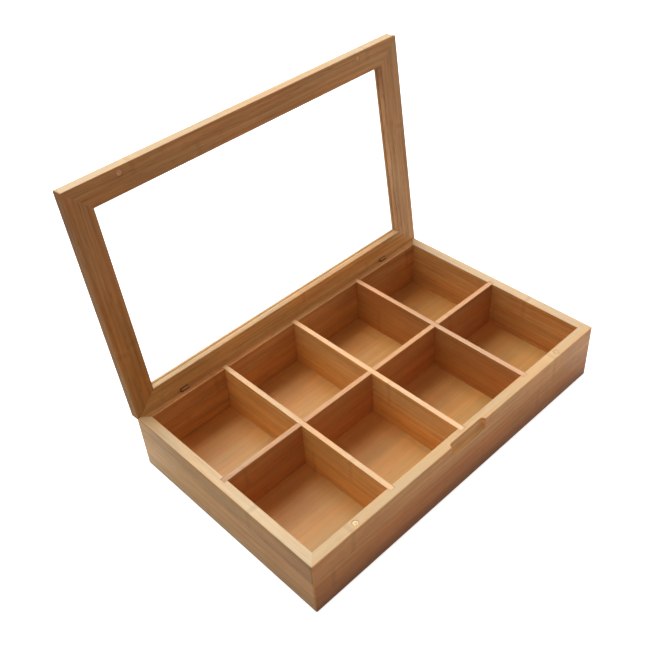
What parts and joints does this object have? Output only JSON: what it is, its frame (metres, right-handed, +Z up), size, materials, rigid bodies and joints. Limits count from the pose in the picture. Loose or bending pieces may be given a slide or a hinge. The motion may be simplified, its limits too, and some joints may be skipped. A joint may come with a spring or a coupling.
{
  "type": "tea bag organizer box",
  "caption": "Flat bamboo tea bag box with equal compartments between halved dividers, a finger scoop in the front and a hinged lid with a clear window, held shut by small magnets.",
  "frame": {"origin": "centre of the box's flat underside, on the surface that it stands on", "axes": "+X along the box to the right, +Y to the back where the hinges are, +Z up; the lid is open and leans back on its stop"},
  "size_m": [0.32, 0.227, 0.2458],
  "materials": {
    "wall_bamboo": "satin lacquer, laminated strips along the wall",
    "board_bamboo": "satin lacquer",
    "divider_bamboo": "satin lacquer",
    "lid_bamboo": "satin lacquer, laminated strips along the rail",
    "clear_pane": "clear",
    "hinge_brass": "satin",
    "magnet_nickel": "bright nickel plate"
  },
  "bodies": {
    "base": {"front_wall": "wall_bamboo", "rear_wall": "wall_bamboo", "left_wall": "wall_bamboo", "right_wall": "wall_bamboo", "bottom_board": "board_bamboo", "long_divider": "divider_bamboo", "cross_divider_left": "divider_bamboo", "cross_divider_middle": "divider_bamboo", "cross_divider_right": "divider_bamboo", "base_magnet_left": "magnet_nickel", "base_magnet_right": "magnet_nickel", "hinge_base_leaf_left": "hinge_brass", "hinge_base_leaf_right": "hinge_brass", "hinge_pin_left": "hinge_brass", "hinge_pin_right": "hinge_brass"},
    "lid": {"lid_front_rail": "lid_bamboo", "lid_rear_rail": "lid_bamboo", "lid_left_stile": "lid_bamboo", "lid_right_stile": "lid_bamboo", "window_pane": "clear_pane", "lid_magnet_left": "magnet_nickel", "lid_magnet_right": "magnet_nickel", "hinge_lid_leaf_left": "hinge_brass", "hinge_lid_leaf_right": "hinge_brass"}
  },
  "joints": [
    {"name": "lid_hinge", "type": "hinge", "parent": "base", "child": "lid", "pos_m": [0, 0.096, 0.0521], "axis": [1, 0, 0], "range_deg": [0, 96.5]}
  ]
}
